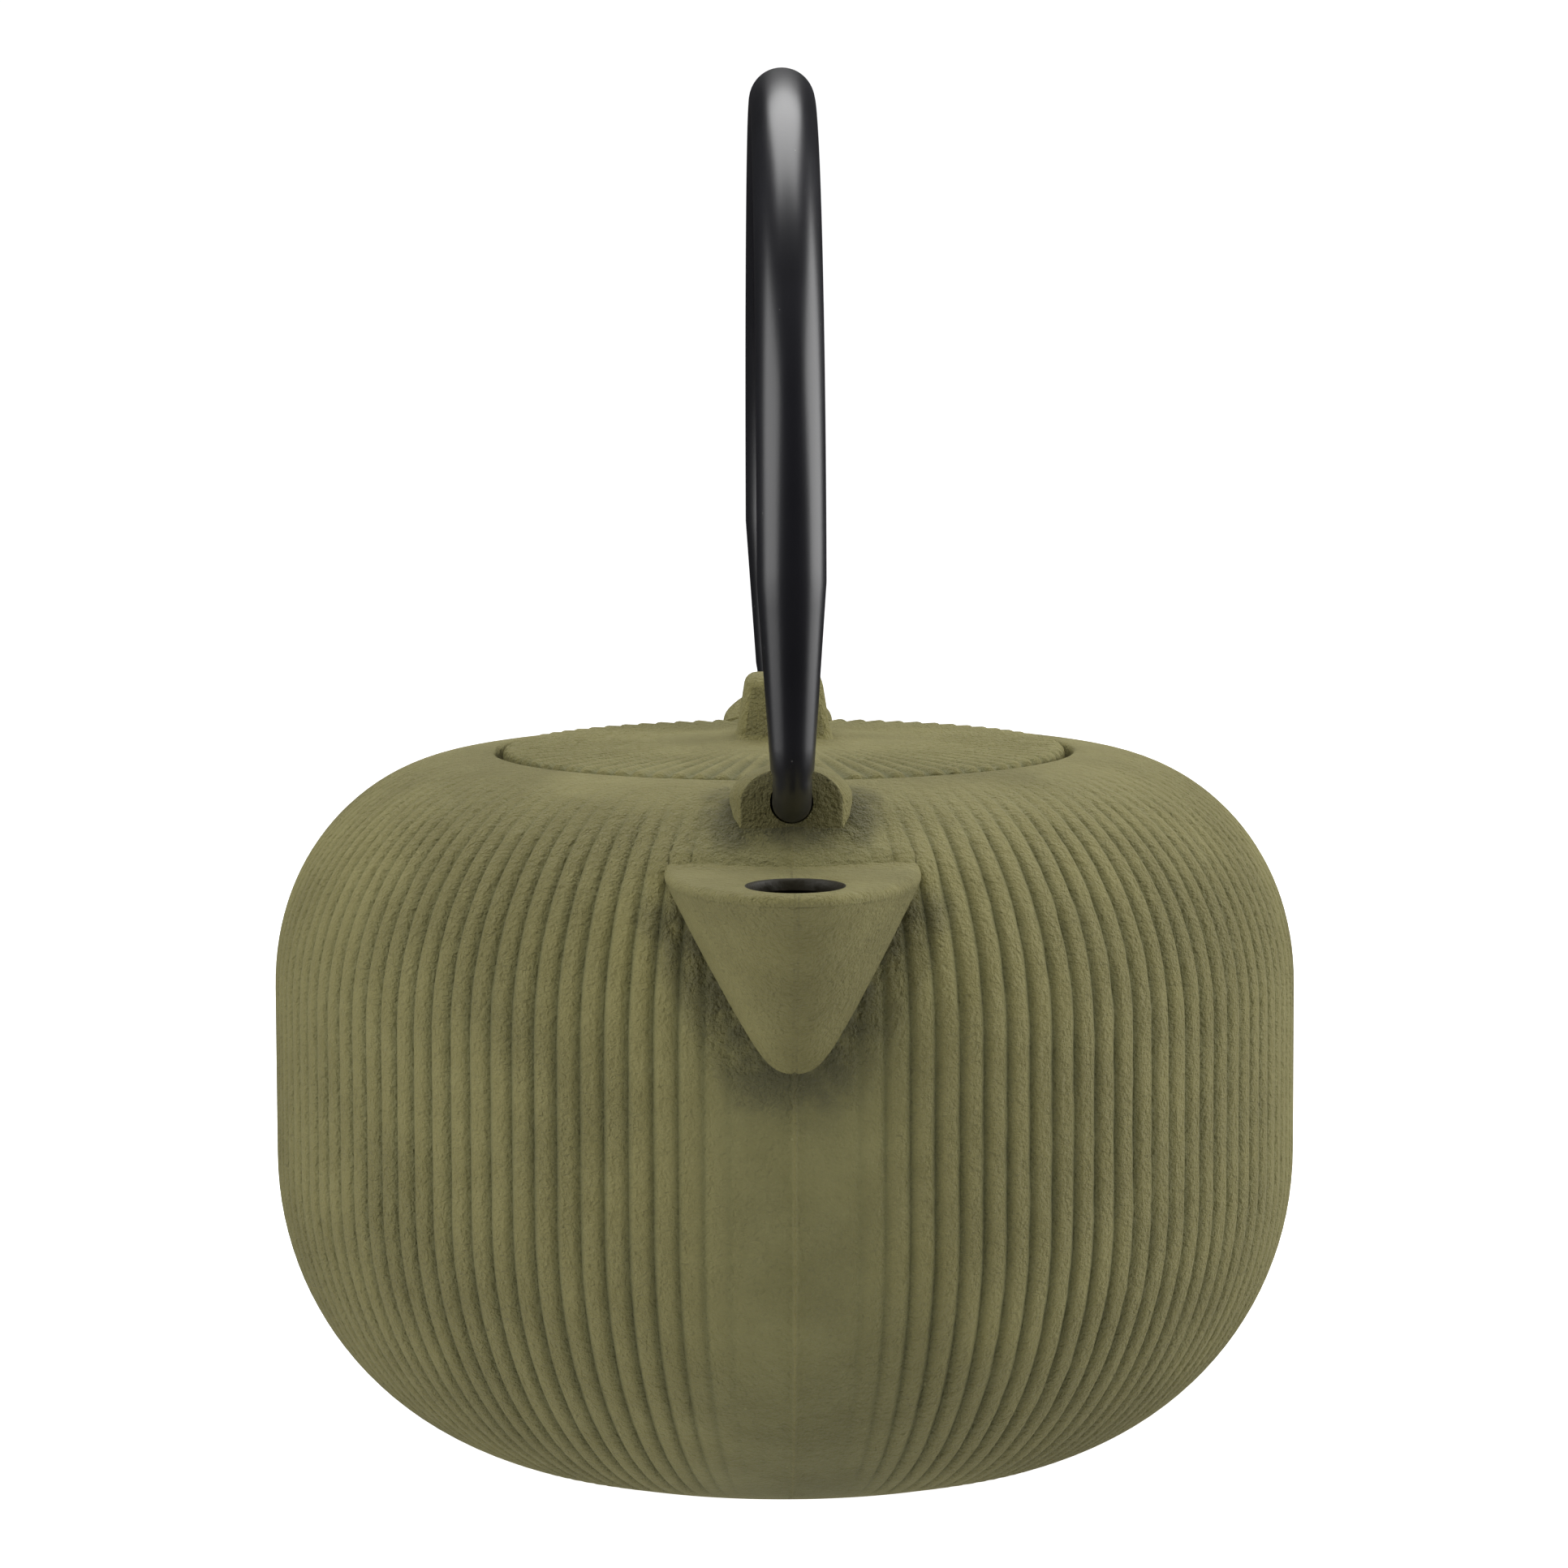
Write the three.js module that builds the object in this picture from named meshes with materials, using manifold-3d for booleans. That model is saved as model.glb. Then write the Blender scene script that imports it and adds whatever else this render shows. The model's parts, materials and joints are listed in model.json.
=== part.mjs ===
// Cast iron teapot with a V-shaped spout, a swinging steel bail and a lift-out tea strainer.
// Units are millimetres. The pot stands on z = 0 with its axis on Z, and the spout points along -Y.
import * as THREE from "three";
import { mergeVertices } from "three/addons/utils/BufferGeometryUtils.js";
import { ConvexGeometry } from "three/addons/geometries/ConvexGeometry.js";
import Module from "manifold-3d";

const wasm = await Module();
wasm.setup();

// ---------------------------------------------------------------- driving dimensions
// pot shell
const bodyRadius = 75; // at the upright band round the belly, over the rib crests
const bandBottom = 45; // where the upright band starts
const bandTop = 69.3; // where the upright band ends
const rimHeight = 104; // rim of the lid opening above the table
const shellWall = 3.6; // thickness of the casting
const floorWall = 4.2; // thickness of the bottom
const bellyLevelRadius = 28.8; // radius at which the belly curve would run level
const bellyCut = 1; // how far below the table the belly curve would run level
const bellyPower = 2.04; // 2 is an ellipse, more is squarer
const shoulderPower = 2.11;
const crownInset = 1.2; // the shoulder runs level this far inside the lid opening
const rimRounding = 0.8; // rounded edge of the lid opening

// lid opening
const openingRadius = 42.4;
const ledgeDepth = 4.4; // from the rim down to the ledge that carries the strainer
const ledgeWidth = 5.9; // the ledge, from the opening inwards
const ledgeWall = 3.6; // thickness of the ledge

// ears that hold the bail
const earSetback = 15; // outer flat face of each ear, inwards from the belly
const earDepth = 9; // from the outer face towards the lid
const earCrest = 3; // from the back of the ear to the end of its level top
const earFaceHalf = 7; // half width of the ear at its outer face
const earBackHalf = 8.5; // half width of the ear at its back
const pivotDrop = 1.5; // pivot axis below the rim
const earRise = 4.8; // top of the ear above the pivot axis
const earHoleDepth = 6.5; // blind hole, drilled from the outer face

// spout
const lipDrop = 10; // flat lip below the rim
const spoutReach = 20.5; // tip of the lip beyond the belly
const lipHalfWidth = 17.6;
const lipRoot = 2; // how far the lip outline starts inside the shoulder surface
const lipEdge = 0.8; // bevel along the edge of the lip
const spoutFall = 27; // from the lip down to the foot of the V
const spoutFootHalf = 4.5; // half width of the V at its foot
const spoutFootRise = 0.4; // the foot of the V stays this far inside the belly
const mouthHalfWidth = 6.5; // pouring hole in the lip
const mouthHalfLength = 7.8;
const lipFrontWall = 3.4; // from the pouring hole to the tip
const channelWall = 3.6; // spout side wall round the channel
const channelDrop = 8; // from the lip down to the widest part of the channel
const channelDepth = 12; // how far the channel runs into the pot from the inside of the wall

// bail handle
const handleTop = 203.3; // top of the hoop above the table
const handleRadius = 4.75; // thick part of the rod
const pinRadius = 2.7; // ends of the rod, in the ears
const pinClearance = 0.3; // round the pin in its hole
const bendRadius = 5; // centreline of the turned-in ends
const neckSwell = 0.3; // how much thicker than the pin the rod is just above the bend
const rodToEar = 0.4; // air between the ear face and the start of the bend
const pinEndGap = 0.6; // from the end of the pin to the bottom of its hole

// lid
const lidGap = 1.1; // all round, to the opening
const lidProud = 0.3; // rim of the lid above the rim of the pot
const lidDome = 1.1; // rise from the rim of the lid to its centre
const lidEdge = 1.2; // rounded edge of the lid
const lidSkirtWall = 2.4;
const lidSkirtDepth = 6;
const lidSkirtGap = 0.8; // from the skirt to the strainer
const knobHeight = 9.4; // above the centre of the lid
const knobFootHalf = 7;
const knobTopHalf = 5.5;
const knobCrown = 1.7; // rounded over at the top
const knobCorner = 1.6; // rounded upright corners

// strainer
const sheet = 0.8; // pressed steel
const mesh = 0.7; // perforated wall and floor
const flangeGap = 1.4; // from the flange to the opening
const skirtGap = 0.7; // from the collar to the throat
const collarDepth = 8;
const strainerDepth = 46; // from the ledge to the underside of the strainer
const bandHeight = 4.6; // band that holds the floor
const seamWidth = 5; // strip over the joint of the wall

// fits between pieces that touch
const touch = 0.3;

// mesh fineness
const potSides = 72;
const lidSides = 60;
const strainerSides = 48;
const rodSides = 16;
const archSteps = 30;
const curveSteps = 9;
const domeSteps = 5;
const edgeSteps = 4;
const cornerSteps = 3;
const legSteps = 2;
const bendSteps = 6;
const lipSides = 36;
const channelSides = 20;

// ---------------------------------------------------------------- worked-out places
const throatRadius = openingRadius - ledgeWidth;
const earFaceRadius = bodyRadius - earSetback;
const earHoleRadius = pinRadius + pinClearance;
const bendNeckRadius = pinRadius + neckSwell;
const lipHeight = rimHeight - lipDrop;
const pivotHeight = rimHeight - pivotDrop;
const ledgeHeight = rimHeight - ledgeDepth;
const crownRadius = openingRadius - crownInset;
const legOffset = earFaceRadius + rodToEar + bendRadius;
const archHeight = handleTop - handleRadius - legOffset;
const lidRadius = openingRadius - lidGap;
const flangeTop = ledgeHeight + touch + sheet;
const lidUnderside = flangeTop + touch;
const lidRimTop = rimHeight + lidProud;
const collarOuter = throatRadius - skirtGap;
const meshOuter = collarOuter - sheet - touch;
const meshInner = meshOuter - mesh;
const lidSkirtOuter = meshInner - lidSkirtGap;
const strainerBottom = ledgeHeight - strainerDepth;
const wallTop = ledgeHeight - touch;

// ---------------------------------------------------------------- helpers
// A closed three.js geometry as a manifold solid.
function solid(geometry) {
  const bare = geometry.clone();
  bare.deleteAttribute("normal");
  bare.deleteAttribute("uv");
  const merged = mergeVertices(bare, 1e-4);
  const vertProperties = new Float32Array(merged.attributes.position.array);
  const triVerts = new Uint32Array(merged.index.array);
  return new wasm.Manifold(new wasm.Mesh({ numProp: 3, vertProperties, triVerts }));
}

// A manifold solid back as a three.js geometry with flat faces.
function geometryOf(body) {
  const result = body.getMesh();
  const geometry = new THREE.BufferGeometry();
  geometry.setAttribute("position", new THREE.BufferAttribute(result.vertProperties, 3));
  geometry.setIndex(new THREE.BufferAttribute(result.triVerts, 1));
  const flat = geometry.toNonIndexed();
  flat.computeVertexNormals();
  return flat;
}

// Turns [radius, height] points, listed from the bottom up on the outside, round the Z axis.
function turned(profile, sides) {
  const points = profile.map(([radius, height]) => new THREE.Vector2(Math.max(radius, 0), height));
  return new THREE.LatheGeometry(points, sides).rotateX(Math.PI / 2);
}

// A ring of rectangular section.
function ring(inner, outer, bottom, top, sides) {
  const corners = [[inner, bottom], [outer, bottom], [outer, top], [inner, top], [inner, bottom]];
  return turned(corners, sides);
}

// Evenly spaced numbers from 0 to 1.
function steps(count) {
  return Array.from({ length: count + 1 }, (_, index) => index / count);
}

// A quarter of a superellipse, from level (at 0) to upright (at 1), as shares of its two half axes.
function quarter(share, power) {
  const angle = (share * Math.PI) / 2;
  return [Math.sin(angle) ** (2 / power), Math.cos(angle) ** (2 / power)];
}

// Outside of the shell as [radius, height], from the table to the lid opening, moved in by `inset`.
function shellCurve(inset, floorHeight, topRadius) {
  const bellyDrop = bandBottom + bellyCut;
  const belly = steps(curveSteps).map((share) => {
    const [out, down] = quarter(share, bellyPower);
    const width = bodyRadius - bellyLevelRadius - inset * out;
    return [bellyLevelRadius + width * out, bandBottom - (bellyDrop - inset) * down];
  });
  const shoulder = steps(curveSteps).map((share) => {
    const [out, up] = quarter(1 - share, shoulderPower);
    const width = bodyRadius - crownRadius - inset;
    return [crownRadius + width * out, bandTop + (rimHeight - bandTop - inset) * up];
  });
  const curve = cutBelow(belly, floorHeight).concat(shoulder);
  return cutInside(curve, topRadius);
}

// Keeps the part of a rising curve above a height, with a point exactly on it.
function cutBelow(curve, height) {
  const first = curve.findIndex(([, z]) => z > height);
  const [low, high] = first > 0 ? [curve[first - 1], curve[first]] : [[0, height], curve[0]];
  const share = (height - low[1]) / (high[1] - low[1]);
  return [[low[0] + share * (high[0] - low[0]), height], ...curve.slice(first)];
}

// Keeps the part of a curve outside a radius, with a point exactly on it.
function cutInside(curve, radius) {
  const last = curve.findLastIndex(([r]) => r > radius);
  const outer = curve[last];
  const inner = curve[last + 1] ?? [radius, outer[1]];
  const share = (outer[0] - radius) / (outer[0] - inner[0]);
  return [...curve.slice(0, last + 1), [radius, outer[1] + share * (inner[1] - outer[1])]];
}

// Height of the outside of the shoulder at a radius, and its radius at a height.
function shoulderHeight(radius) {
  const out = Math.min(Math.max((radius - crownRadius) / (bodyRadius - crownRadius), 0), 1);
  return bandTop + (rimHeight - bandTop) * (1 - out ** shoulderPower) ** (1 / shoulderPower);
}

function shoulderRadius(height) {
  const up = Math.min(Math.max((height - bandTop) / (rimHeight - bandTop), 0), 1);
  return crownRadius + (bodyRadius - crownRadius) * (1 - up ** shoulderPower) ** (1 / shoulderPower);
}

// A level ellipse of points round (0, y) at a height.
function ellipseRing(halfWidth, halfLength, y, height, count) {
  return steps(count).slice(1).map((share) => {
    const angle = share * 2 * Math.PI;
    return new THREE.Vector3(halfWidth * Math.cos(angle), y + halfLength * Math.sin(angle), height);
  });
}

// A level square of points with rounded corners at a height.
function squareRing(half, corner, height) {
  return [0, 1, 2, 3].flatMap((side) =>
    steps(cornerSteps).map((share) => {
      const angle = ((side + share) * Math.PI) / 2;
      const turn = (side * Math.PI) / 2 + Math.PI / 4;
      const reach = (half - corner) * Math.SQRT2;
      const x = reach * Math.cos(turn) + corner * Math.cos(angle);
      const y = reach * Math.sin(turn) + corner * Math.sin(angle);
      return new THREE.Vector3(x, y, height);
    }),
  );
}

function piece(name, geometry, color, roughness, metalness) {
  const made = new THREE.Mesh(geometry, new THREE.MeshStandardMaterial({ color, roughness, metalness }));
  made.name = name;
  return made;
}

// ---------------------------------------------------------------- pot body
// The shell is turned, with a flat bottom, a rounded rim, a ledge for the strainer and a throat.
function shellOutside() {
  const curve = shellCurve(0, 0, openingRadius + rimRounding);
  return solid(turned([[0, 0], ...curve, [openingRadius, rimHeight - rimRounding / 2],
    [openingRadius, ledgeHeight], [0, ledgeHeight]], potSides));
}

// The hollow follows the outside at the wall's thickness and stops under the ledge.
function shellInside() {
  const roof = ledgeHeight - ledgeWall;
  const curve = shellCurve(shellWall, floorWall, throatRadius);
  const below = curve.filter(([, height]) => height < roof);
  const [edgeRadius] = below[below.length - 1];
  const hollow = [[0, floorWall], ...below, [Math.min(edgeRadius, shoulderRadius(roof) - shellWall), roof],
    [throatRadius, roof], [throatRadius, ledgeHeight + touch], [0, ledgeHeight + touch]];
  return solid(turned(hollow, potSides));
}

// An ear is an arch that widens from its outer face to its back and reaches down into the shoulder.
function earSolid() {
  const foot = shoulderHeight(earFaceRadius) - shellWall;
  const arch = (half, y, top) =>
    [[half, foot], [-half, foot]].map(([x, z]) => new THREE.Vector3(x, y, z)).concat(
      steps(curveSteps).map((share) => {
        const angle = share * Math.PI;
        const rise = top - pivotHeight;
        return new THREE.Vector3(half * Math.cos(angle), y, pivotHeight + rise * Math.sin(angle));
      }),
    );
  const top = pivotHeight + earRise;
  const back = earFaceRadius - earDepth;
  const crest = back + earCrest;
  const points = [...arch(earFaceHalf, -earFaceRadius, top), ...arch(earBackHalf, -crest, top),
    ...arch(earBackHalf, -back, pivotHeight + pivotDrop)];
  return solid(new ConvexGeometry(points));
}

function earHole() {
  const length = earHoleDepth + bendRadius;
  const drill = new THREE.CylinderGeometry(earHoleRadius, earHoleRadius, length, 2 * rodSides);
  return solid(drill.translate(0, -(earFaceRadius - earHoleDepth + length / 2), pivotHeight));
}

// The spout is the hull of the level lip and a small foot low on the belly.
const lipRootRadius = shoulderRadius(lipHeight) - lipRoot;
const tipRadius = bodyRadius + spoutReach;
const insideRadius = bodyRadius - shellWall;
const spoutFoot = lipHeight - spoutFall;

function spoutSolid() {
  const lip = (height, inset) =>
    ellipseRing(lipHalfWidth - inset, tipRadius - lipRootRadius - inset, -lipRootRadius, height, lipSides);
  const foot = ellipseRing(spoutFootHalf, shellWall - spoutFootRise, -insideRadius, spoutFoot, channelSides);
  return solid(new ConvexGeometry([...lip(lipHeight, lipEdge), ...lip(lipHeight - lipEdge, 0), ...foot]));
}

// The channel opens in the lip, widens below it and runs through the wall of the shell.
function spoutChannel() {
  const mouthY = -(tipRadius - lipFrontWall - mouthHalfLength);
  const mouth = (height) => ellipseRing(mouthHalfWidth, mouthHalfLength, mouthY, height, channelSides);
  const middle = -(insideRadius - channelDepth / 2);
  const share = 1 - channelDrop / spoutFall;
  const outerHalf = spoutFootHalf + (lipHalfWidth - spoutFootHalf) * share;
  const root = ellipseRing(outerHalf - channelWall, channelDepth / 2, middle, lipHeight - channelDrop,
    channelSides);
  const footHeight = spoutFoot + channelWall * Math.SQRT2;
  const foot = ellipseRing(spoutFootHalf / 2, channelDepth / 2, middle, footHeight, channelSides);
  const hull = solid(new ConvexGeometry([...mouth(lipHeight), ...root, ...foot]));
  const bore = solid(new ConvexGeometry([...mouth(lipHeight - lipEdge), ...mouth(rimHeight)]));
  return hull.add(bore);
}

function potBody() {
  const half = (body) => [body, body.rotate([0, 0, 180])];
  let casting = shellOutside();
  for (const ear of half(earSolid())) casting = casting.add(ear);
  casting = casting.add(spoutSolid());
  casting = casting.subtract(openingCut()).subtract(shellInside());
  for (const hole of half(earHole())) casting = casting.subtract(hole);
  return casting.subtract(spoutChannel());
}

// The recess above the ledge, open at the top.
function openingCut() {
  const clear = pivotHeight + earRise + lipDrop;
  return solid(turned([[0, ledgeHeight], [openingRadius, ledgeHeight], [openingRadius, clear],
    [0, clear]], potSides));
}

// ---------------------------------------------------------------- lid
function lidBody() {
  const topCentre = lidRimTop + lidDome;
  const dome = steps(domeSteps).map((share) => {
    const radius = (lidRadius - lidEdge) * (1 - share);
    return [radius, topCentre - lidDome * (radius / (lidRadius - lidEdge)) ** 2];
  });
  const edge = steps(edgeSteps).map((share) => {
    const angle = (share * Math.PI) / 2;
    return [lidRadius - lidEdge * (1 - Math.cos(angle)), lidRimTop - lidEdge * (1 - Math.sin(angle))];
  });
  const skirtInner = lidSkirtOuter - lidSkirtWall;
  const skirtBottom = lidUnderside - lidSkirtDepth;
  const profile = [[0, lidUnderside], [skirtInner, lidUnderside], [skirtInner, skirtBottom],
    [lidSkirtOuter, skirtBottom], [lidSkirtOuter, lidUnderside], [lidRadius, lidUnderside],
    ...edge, ...dome.slice(1)];
  const knobBase = topCentre - lidDome;
  const crown = steps(cornerSteps).map((share) => {
    const angle = (share * Math.PI) / 2;
    const inset = knobCrown * (1 - Math.cos(angle));
    const height = topCentre + knobHeight - knobCrown * (1 - Math.sin(angle));
    return squareRing(knobTopHalf - inset, knobCorner, height);
  });
  const knob = new ConvexGeometry([...squareRing(knobFootHalf, knobCorner, knobBase), ...crown.flat()]);
  return solid(turned(profile, lidSides)).add(solid(knob));
}

// ---------------------------------------------------------------- bail handle
// Centreline of the rod in the plane of the hoop: pin, bend, leg, arch, leg, bend, pin.
function rodPath() {
  const pinEnd = earFaceRadius - earHoleDepth + pinEndGap;
  const bendCentre = legOffset - bendRadius;
  const bendTop = pivotHeight + bendRadius;
  const path = new THREE.Path();
  path.moveTo(-pinEnd, pivotHeight);
  path.lineTo(-bendCentre, pivotHeight);
  path.absarc(-bendCentre, bendTop, bendRadius, -Math.PI / 2, -Math.PI, true);
  path.lineTo(-legOffset, archHeight);
  path.absarc(0, archHeight, legOffset, Math.PI, 0, true);
  path.lineTo(legOffset, bendTop);
  path.absarc(bendCentre, bendTop, bendRadius, 0, -Math.PI / 2, true);
  path.lineTo(pinEnd, pivotHeight);
  return path;
}

// Thin in the ears, growing up each leg and even round the arch.
function rodRadius(height, offset) {
  const bendTop = pivotHeight + bendRadius;
  if (height <= bendTop) {
    const share = Math.max(0, (Math.abs(offset) - (legOffset - bendRadius)) / bendRadius);
    return pinRadius + (bendNeckRadius - pinRadius) * share;
  }
  const share = Math.min(1, (height - bendTop) / (archHeight - bendTop));
  return bendNeckRadius + (handleRadius - bendNeckRadius) * share;
}

// Stations along the path, as lengths: the ends of each stretch, and even steps round each bend.
function rodStations(path) {
  const lengths = path.getCurveLengths();
  const fine = { 1: bendSteps, 3: archSteps, 5: bendSteps };
  const stations = [0];
  lengths.forEach((end, index) => {
    const start = index ? lengths[index - 1] : 0;
    const count = fine[index] ?? legSteps;
    for (let step = 1; step <= count; step += 1) stations.push(start + ((end - start) * step) / count);
  });
  return stations;
}

// A capped cylinder whose rings are moved to the stations of the path.
function handleRod() {
  const path = rodPath();
  const stations = rodStations(path);
  const total = path.getLength();
  const rows = stations.length - 1;
  const rod = new THREE.CylinderGeometry(1, 1, 1, rodSides, rows);
  const places = rod.getAttribute("position");
  for (let index = 0; index < places.count; index += 1) {
    const row = Math.round((0.5 - places.getY(index)) * rows);
    const share = stations[row] / total;
    const middle = path.getPointAt(share);
    const along = path.getTangentAt(share);
    const radius = rodRadius(middle.y, middle.x);
    const across = places.getX(index) * radius;
    const out = places.getZ(index) * radius;
    places.setXYZ(index, across, middle.x + out * along.y, middle.y - out * along.x);
  }
  return solid(rod);
}

// ---------------------------------------------------------------- strainer
// Collar: a flange that lies on the ledge and a short skirt down the throat.
function strainerCollar() {
  const bottom = ledgeHeight - collarDepth;
  const flangeOuter = openingRadius - flangeGap;
  const inner = collarOuter - sheet;
  return turned([[inner, bottom], [collarOuter, bottom], [collarOuter, flangeTop - sheet],
    [flangeOuter, flangeTop - sheet], [flangeOuter, flangeTop], [inner, flangeTop], [inner, bottom]],
    strainerSides);
}

// The strip covers the joint of the wall between the collar and the band, on the side away from the spout.
function seamStrip() {
  const bottom = strainerBottom + bandHeight + touch;
  const top = ledgeHeight - collarDepth - touch;
  const strip = new THREE.BoxGeometry(seamWidth, sheet, top - bottom);
  return strip.translate(0, meshOuter + touch + sheet / 2, (bottom + top) / 2);
}

// ---------------------------------------------------------------- assembly
const olive = 0x7d7850;
const black = 0x1c1c20;
const steel = 0xb9bcbf;
const teapot = new THREE.Group();
const strainer = new THREE.Group();
const rings = [
  ["strainer_wall", ring(meshInner, meshOuter, strainerBottom + mesh, wallTop, strainerSides)],
  ["strainer_floor_band", ring(meshOuter + touch, collarOuter, strainerBottom, strainerBottom + bandHeight,
    strainerSides)],
];
strainer.add(piece("strainer_collar", strainerCollar(), steel, 0.3, 0.9));
for (const [name, geometry] of rings) strainer.add(piece(name, geometry, steel, 0.35, 0.9));
const floorDisc = turned([[0, strainerBottom + mesh], [meshInner - touch, strainerBottom + mesh],
  [meshInner - touch, strainerBottom + 2 * mesh], [0, strainerBottom + 2 * mesh]], strainerSides);
strainer.add(piece("strainer_floor", floorDisc, steel, 0.35, 0.9));
strainer.add(piece("strainer_side_seam", seamStrip(), steel, 0.35, 0.9));
teapot.add(piece("pot_body", geometryOf(potBody()), olive, 0.75, 0.1));
teapot.add(piece("lid", geometryOf(lidBody()), olive, 0.75, 0.1));
teapot.add(piece("bail_handle", geometryOf(handleRod()), black, 0.4, 0.3));
teapot.add(strainer);

export default teapot;
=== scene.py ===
# %% [markdown]
# # A ribbed cast iron teapot
# The pot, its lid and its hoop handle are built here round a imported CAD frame, piece by piece.
# The frame gives every place and size: it moves and collides, and these pieces give it its looks.
# We work as at the bench: draw an outline, turn it, press the ribs in, then coat it.

# %% Load the frame
import json
import math
import bmesh
import bpy
import numpy as np
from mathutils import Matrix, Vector, noise

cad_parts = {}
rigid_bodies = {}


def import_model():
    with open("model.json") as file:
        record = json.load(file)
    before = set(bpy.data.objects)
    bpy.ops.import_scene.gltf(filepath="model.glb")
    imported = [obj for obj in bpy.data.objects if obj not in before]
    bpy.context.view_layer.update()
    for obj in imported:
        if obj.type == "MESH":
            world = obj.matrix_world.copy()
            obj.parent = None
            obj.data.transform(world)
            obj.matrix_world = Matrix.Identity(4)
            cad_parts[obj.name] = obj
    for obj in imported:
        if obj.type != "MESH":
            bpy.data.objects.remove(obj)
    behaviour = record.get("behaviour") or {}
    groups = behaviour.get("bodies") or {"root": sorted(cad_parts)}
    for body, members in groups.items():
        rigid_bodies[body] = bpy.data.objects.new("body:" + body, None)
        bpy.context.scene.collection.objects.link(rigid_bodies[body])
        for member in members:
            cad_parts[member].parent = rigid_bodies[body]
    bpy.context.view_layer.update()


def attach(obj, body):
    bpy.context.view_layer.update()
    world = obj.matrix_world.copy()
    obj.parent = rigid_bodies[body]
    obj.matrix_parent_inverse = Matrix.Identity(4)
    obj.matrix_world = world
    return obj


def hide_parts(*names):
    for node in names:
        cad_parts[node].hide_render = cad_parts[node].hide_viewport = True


for leftover in list(bpy.data.objects):
    bpy.data.objects.remove(leftover)
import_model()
MM = 0.001

# %% [markdown]
# ## Camera
# A long lens from nearly a metre away, a little above the lid, looks down on the spout by some six
# degrees. The long lens keeps the round belly from bulging, as in a catalogue picture.

# %% The camera
CAMERA_AWAY = 882 * MM
CAMERA_HEIGHT = 194.17 * MM
CAMERA_YAW = math.radians(1.0)
CAMERA_PITCH = math.radians(6.19)
CAMERA_ROLL = math.radians(-0.2)
CAMERA_LENS = 138.33
camera_data = bpy.data.cameras.new("camera")
camera_data.lens = CAMERA_LENS
camera_data.sensor_width = 36
camera_data.clip_start = 0.05
camera = bpy.data.objects.new("camera", camera_data)
bpy.context.scene.collection.objects.link(camera)
camera.location = (-CAMERA_AWAY * math.sin(CAMERA_YAW),
                   -CAMERA_AWAY * math.cos(CAMERA_YAW), CAMERA_HEIGHT)
looking = Vector((math.sin(CAMERA_YAW) * math.cos(CAMERA_PITCH),
                  math.cos(CAMERA_YAW) * math.cos(CAMERA_PITCH), -math.sin(CAMERA_PITCH)))
camera.rotation_euler = looking.to_track_quat("-Z", "Y").to_euler()
camera.rotation_euler.rotate_axis("Z", CAMERA_ROLL)
bpy.context.scene.camera = camera
print("camera at", [round(value, 3) for value in camera.location])

# %% [markdown]
# ## Light
# Two large softboxes stand left and right, two more hang overhead, and nothing shines level from the
# front. That is what draws the ribs: each one has a bright and a dark side. The room is white to
# the camera and dark to the iron, as in a studio with flags beside a lit backdrop.

# %% Softboxes and room
def softbox(name, place, aim, width, height, watts):
    light = bpy.data.lights.new(name, "AREA")
    light.shape = "RECTANGLE"
    light.size = width
    light.size_y = height
    light.energy = watts
    box = bpy.data.objects.new(name, light)
    bpy.context.scene.collection.objects.link(box)
    box.location = place
    box.rotation_euler = (Vector(aim) - Vector(place)).to_track_quat("-Z", "Y").to_euler()
    return box


def round_the_pot(turn, rise, away):
    """A place seen from the middle of the pot: degrees from the camera's side, degrees up, metres."""
    turn, rise = math.radians(turn), math.radians(rise)
    level = away * math.cos(rise)
    return level * math.sin(turn), -level * math.cos(turn), 0.08 + away * math.sin(rise)


MIDDLE = (0, 0, 0.08)
softbox("softbox_left", round_the_pot(-72, 18, 1.0), MIDDLE, 1.0, 1.0, 6.4)
softbox("softbox_right", round_the_pot(88, 18, 1.0), MIDDLE, 1.0, 1.0, 9.4)
softbox("softbox_top_back", round_the_pot(180, 62, 1.15), MIDDLE, 0.9, 0.9, 8.1)
above = softbox("softbox_top_front", round_the_pot(0, 60, 1.15), MIDDLE, 0.9, 0.9, 5.6)
above.visible_glossy = False

world = bpy.data.worlds.new("white_room")
bpy.context.scene.world = world
world.use_nodes = True
sky = world.node_tree
sky.nodes.clear()
sky_out = sky.nodes.new("ShaderNodeOutputWorld")
sky_mix = sky.nodes.new("ShaderNodeMixShader")
seen = sky.nodes.new("ShaderNodeBackground")
seen.inputs["Color"].default_value = (1, 1, 1, 1)
seen.inputs["Strength"].default_value = 1.05
room = sky.nodes.new("ShaderNodeBackground")
room.inputs["Color"].default_value = (1, 1, 1, 1)
room.inputs["Strength"].default_value = 0.02
path = sky.nodes.new("ShaderNodeLightPath")
sky.links.new(path.outputs["Is Camera Ray"], sky_mix.inputs[0])
sky.links.new(room.outputs[0], sky_mix.inputs[1])
sky.links.new(seen.outputs[0], sky_mix.inputs[2])
sky.links.new(sky_mix.outputs[0], sky_out.inputs["Surface"])
bpy.context.scene.view_settings.view_transform = "Standard"
bpy.context.scene.view_settings.look = "None"

# %% [markdown]
# ## Working in edit mode from a script
# Operators act on what is selected, so these small helpers clear the selection, name the new
# piece, and select its vertices, edges or faces by where they are. A piece of the pot is always a
# primitive that is then shaped, so it starts with `start` and ends with `close_up`.

# %% Helpers for shaping
def clear_selection():
    if bpy.context.object and bpy.context.object.mode != "OBJECT":
        bpy.ops.object.mode_set(mode="OBJECT")
    bpy.ops.object.select_all(action="DESELECT")


def pick(piece):
    """Selects one piece alone and makes it the one that operators act on."""
    clear_selection()
    piece.select_set(True)
    bpy.context.view_layer.objects.active = piece


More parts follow.
